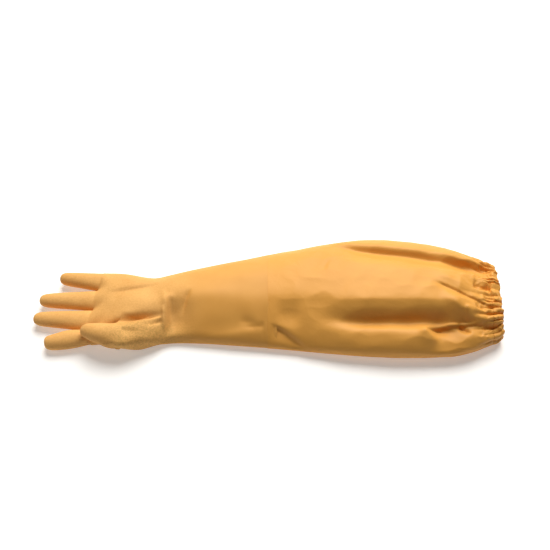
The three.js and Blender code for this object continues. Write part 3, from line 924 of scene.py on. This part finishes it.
# The hem: the film folded over into a tunnel with elastic in it, welded along the line where
# the sleeve ends. The elastic draws it into small puffed ruffles all round the mouth.
HEM_WALL = 1.3
HEM_GAP = 0.15
MOUTH_X = 324
RUFFLE_POINTS = 20
HEM_SIDES = RUFFLES * RUFFLE_POINTS
HEM_STEPS = 15
HEM_EDGE_SHARE = 0.007

# The ruffles puff out between the weld and just short of the mouth, where they are drawn in
# a little, and they end unevenly.
PUFF = 1.5
PUFF_ROUNDNESS = 0.7
PUFF_PACE = 1.1
MOUTH_DRAWN_IN = 0.5
MOUTH_WAVES = 2.56
hem_shares = [0, HEM_EDGE_SHARE] + [i / HEM_STEPS for i in range(1, HEM_STEPS + 1)]
around = np.arange(HEM_SIDES) / HEM_SIDES
mouth_waves = MOUTH_WAVES * (wrapped(ruffle_sizes, (around * 2) % 1) - 1)
hem_rings = []
for t in hem_shares:
    x = HEM_X + HEM_GAP + (MOUTH_X - HEM_X - HEM_GAP) * t
    puff = PUFF * math.sin(math.pi * min(t * PUFF_PACE, 1)) ** PUFF_ROUNDNESS
    ring = film_ring(x, HEM_SIDES, 1, puff - MOUTH_DRAWN_IN * t**4)
    ring[:, 0] += mouth_waves * t
    hem_rings.append(ring)
skin = lean(np.vstack(hem_rings))
hem_wall = np.full(len(skin), HEM_WALL)
hem_points, hem_faces = closed_shell(skin, len(hem_shares), HEM_SIDES, hem_wall, inner_step=1)
hem = new_piece("gathered_hem", hem_points, hem_faces, film)
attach(hem, "root")
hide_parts("elastic_hem")


# The table: a plain pale board, much larger than the view. It glows a little, so that it is
# as white as a studio's table, and the shadows on it stay light.
TABLE_HALF = 6.0
corners = [(x * TABLE_HALF, y * TABLE_HALF, 0) for x, y in ((-1, -1), (1, -1), (1, 1), (-1, 1))]
table_mesh = bpy.data.meshes.new("table")
table_mesh.from_pydata(corners, [], [(0, 1, 2, 3)])
table = bpy.data.objects.new("table", table_mesh)
bpy.context.collection.objects.link(table)
table_white, shader = new_material("table_white")
set_inputs(table_white, shader, {
    "Base Color": (0.9, 0.895, 0.88, 1),
    "Roughness": 0.9,
    "Emission Color": (1, 0.985, 0.96, 1),
    "Emission Strength": 0.3,
})
table_mesh.materials.append(table_white)


# Studio light: a large soft lamp from behind and to the right, a small weak one from the
# fingers' side that lifts the shade on the near flank, and a very dim room.
world = bpy.data.worlds.new("room")
world.use_nodes = True
world.node_tree.nodes["Background"].inputs["Color"].default_value = (1, 0.985, 0.96, 1)
world.node_tree.nodes["Background"].inputs["Strength"].default_value = 0.03
bpy.context.scene.world = world


def soft_lamp(name, place, aim, size, power, colour):
    """A round lamp at a place in metres, turned towards its aim. power is in watts."""
    data = bpy.data.lights.new(name, "AREA")
    data.shape = "DISK"
    data.size = size
    data.energy = power
    data.color = colour
    lamp = bpy.data.objects.new(name, data)
    lamp.location = place
    away = np.array(place) - np.array(aim)
    heading = math.atan2(away[0], -away[1])
    lamp.rotation_euler = (math.atan2(math.hypot(away[0], away[1]), away[2]), 0, heading)
    bpy.context.collection.objects.link(lamp)


WHITE = (1, 0.985, 0.96)
WARM_WHITE = (1, 0.96, 0.88)
soft_lamp("key", (0.3, 1.45, 1.85), aim=(0, 0, 0), size=2.2, power=96, colour=WHITE)
soft_lamp("fill", (-0.85, -0.35, 0.5), aim=(-0.2, 0, 0), size=0.7, power=1, colour=WARM_WHITE)


# The camera looks down at the photograph's angle, 55 degrees, from just over a metre. Its
# aim is the point of the table in the middle of the picture.
FOCAL_PIXELS = 720
IMAGE_WIDTH = 550
SENSOR_WIDTH = 36
DISTANCE = 1053
ELEVATION = math.radians(55)
AIM = np.array([9.5 + SHIFT_X, 52 + SHIFT_Y, 0])
camera_data = bpy.data.cameras.new("camera")
camera_data.sensor_width = SENSOR_WIDTH
camera_data.lens = SENSOR_WIDTH * FOCAL_PIXELS / IMAGE_WIDTH
camera = bpy.data.objects.new("camera", camera_data)
back = np.array([0, -math.cos(ELEVATION), math.sin(ELEVATION)])
camera.location = (AIM + back * DISTANCE) * MM
camera.rotation_euler = (math.pi / 2 - ELEVATION, 0, 0)
bpy.context.collection.objects.link(camera)
bpy.context.scene.camera = camera
bpy.context.scene.view_settings.view_transform = "Standard"
